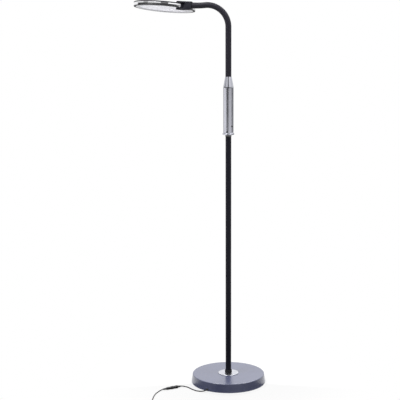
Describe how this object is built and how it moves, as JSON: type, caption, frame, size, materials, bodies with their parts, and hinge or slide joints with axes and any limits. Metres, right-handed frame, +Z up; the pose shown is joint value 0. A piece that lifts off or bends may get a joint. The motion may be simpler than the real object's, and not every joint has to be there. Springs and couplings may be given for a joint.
{
  "type": "gooseneck floor lamp",
  "caption": "Slim black floor lamp with a weighted round base, silver hand grip, flexible neck and a round flat lamp head that faces down, held in a swivelling fork",
  "frame": {"origin": "middle of the pad under the base, on the floor, on the axis of the pole", "axes": "+Z up along the pole, -X the side that the neck reaches to, -Y the side that faces the viewer"},
  "size_m": [0.4396, 0.5473, 1.2808],
  "materials": {
    "pad": "matt, fine grain",
    "steel": "plain turned steel",
    "iron": "rough cast, painted black",
    "base_paint": "semi-gloss blue-black paint",
    "bright_disc": "bright satin",
    "collar": "black, knurled",
    "pole_paint": "semi-gloss black paint",
    "handle_metal": "bright silver, drawn",
    "black_screw": "blackened",
    "black_gloss": "smooth black",
    "cord_plastic": "soft black sheath",
    "white_plastic": "white moulded",
    "circuit": "green lacquer",
    "neck_hose": "matt black sleeve with a fine wound texture",
    "fork_metal": "gloss black paint",
    "rim_metal": "polished",
    "head_black": "gloss black",
    "board_metal": "white lacquer",
    "chip": "yellow lens",
    "opal": "opal white, satin",
    "adapter_plastic": "fine sparked texture",
    "pins": "nickel plated brass"
  },
  "bodies": {
    "stand": {"base_pad": "pad", "base_plate": "steel", "base_weight": "iron", "base_cover": "base_paint", "base_screws": "steel", "cord_gland": "cord_plastic", "flange_seal": "pad", "flange_disc": "bright_disc", "pole_collar": "collar", "collar_screw": "steel", "pole_nipple": "steel", "nipple_washer": "steel", "nipple_nut": "steel", "pole_foot": "steel", "pole_lower": "pole_paint", "pole_coupler": "steel", "pole_upper": "pole_paint", "pole_wire": "cord_plastic", "pole_bush": "black_gloss", "handle_ring": "handle_metal", "handle_sleeve": "handle_metal", "handle_screw": "black_screw", "switch_body": "black_gloss", "driver_carrier": "white_plastic", "driver_board": "circuit", "driver_parts": "black_gloss", "neck_socket": "steel", "lamp_cord": "cord_plastic", "lamp_jack": "cord_plastic", "adapter_plug": "cord_plastic", "adapter_lead": "cord_plastic", "lead_coil": "cord_plastic", "coil_tie": "black_gloss", "lead_tail": "cord_plastic", "adapter_case": "adapter_plastic", "adapter_pins": "pins"},
    "switch_button": {"switch_button": "black_gloss"},
    "neck_1": {"neck_root": "steel", "swivel_clip": "steel", "neck_link_1": "neck_hose"},
    "neck_2": {"neck_link_2": "neck_hose"},
    "neck_3": {"neck_link_3": "neck_hose"},
    "neck_4": {"neck_link_4": "neck_hose"},
    "neck_5": {"neck_link_5": "neck_hose"},
    "neck_6": {"neck_link_6": "neck_hose"},
    "neck_7": {"neck_link_7": "neck_hose"},
    "neck_8": {"neck_link_8": "neck_hose"},
    "neck_9": {"neck_link_9": "neck_hose", "neck_end": "steel"},
    "fork": {"fork": "fork_metal", "fork_screw": "steel", "pivot_pin": "steel", "pivot_washers": "steel"},
    "head": {"head_rim": "rim_metal", "head_cover": "head_black", "cover_screws": "steel", "led_board": "board_metal", "led_chips": "chip", "light_ring": "white_plastic", "diffuser": "opal"}
  },
  "joints": [
    {"name": "neck_swivel", "type": "hinge", "parent": "stand", "child": "neck_1", "pos_m": [0, 0, 1.03], "axis": [0, 0, 1], "range_deg": [-150, 150]},
    {"name": "neck_bend_1", "type": "hinge", "parent": "neck_1", "child": "neck_2", "pos_m": [0, 0, 1.075], "axis": [-0.2164, -0.9763, 0], "range_deg": [-20, 20]},
    {"name": "neck_bend_2", "type": "hinge", "parent": "neck_2", "child": "neck_3", "pos_m": [0, 0, 1.115], "axis": [-0.2164, -0.9763, 0], "range_deg": [-20, 20]},
    {"name": "neck_bend_3", "type": "hinge", "parent": "neck_3", "child": "neck_4", "pos_m": [0, 0, 1.155], "axis": [-0.2164, -0.9763, 0], "range_deg": [-20, 20]},
    {"name": "neck_bend_4", "type": "hinge", "parent": "neck_4", "child": "neck_5", "pos_m": [0, 0, 1.195], "axis": [-0.2164, -0.9763, 0], "range_deg": [-30, 8]},
    {"name": "neck_bend_5", "type": "hinge", "parent": "neck_5", "child": "neck_6", "pos_m": [-0.00591, 0.00131, 1.22347], "axis": [-0.2164, -0.9763, 0], "range_deg": [-30, 8]},
    {"name": "neck_bend_6", "type": "hinge", "parent": "neck_6", "child": "neck_7", "pos_m": [-0.02261, 0.00501, 1.24702], "axis": [-0.2164, -0.9763, 0], "range_deg": [-30, 8]},
    {"name": "neck_bend_7", "type": "hinge", "parent": "neck_7", "child": "neck_8", "pos_m": [-0.04722, 0.01047, 1.26157], "axis": [-0.2164, -0.9763, 0], "range_deg": [-30, 8]},
    {"name": "neck_bend_8", "type": "hinge", "parent": "neck_8", "child": "neck_9", "pos_m": [-0.07548, 0.01673, 1.26462], "axis": [-0.2164, -0.9763, 0], "range_deg": [-30, 8]},
    {"name": "head_roll", "type": "hinge", "parent": "neck_9", "child": "fork", "pos_m": [-0.11799, 0.02616, 1.26351], "axis": [-0.9749, 0.2161, 0.0541], "range_deg": [-45, 45]},
    {"name": "head_swivel", "type": "hinge", "parent": "fork", "child": "head", "pos_m": [-0.16105, 0.03542, 1.26392], "axis": [0.082, 0.1226, 0.9891], "range_deg": [0, 90]},
    {"name": "switch_press", "type": "slide", "parent": "stand", "child": "switch_button", "axis": [-0.682, 0.7314, 0], "range_m": [0, 0.0012], "stiffness_N_per_m": 600, "springref_m": -0.0008}
  ]
}
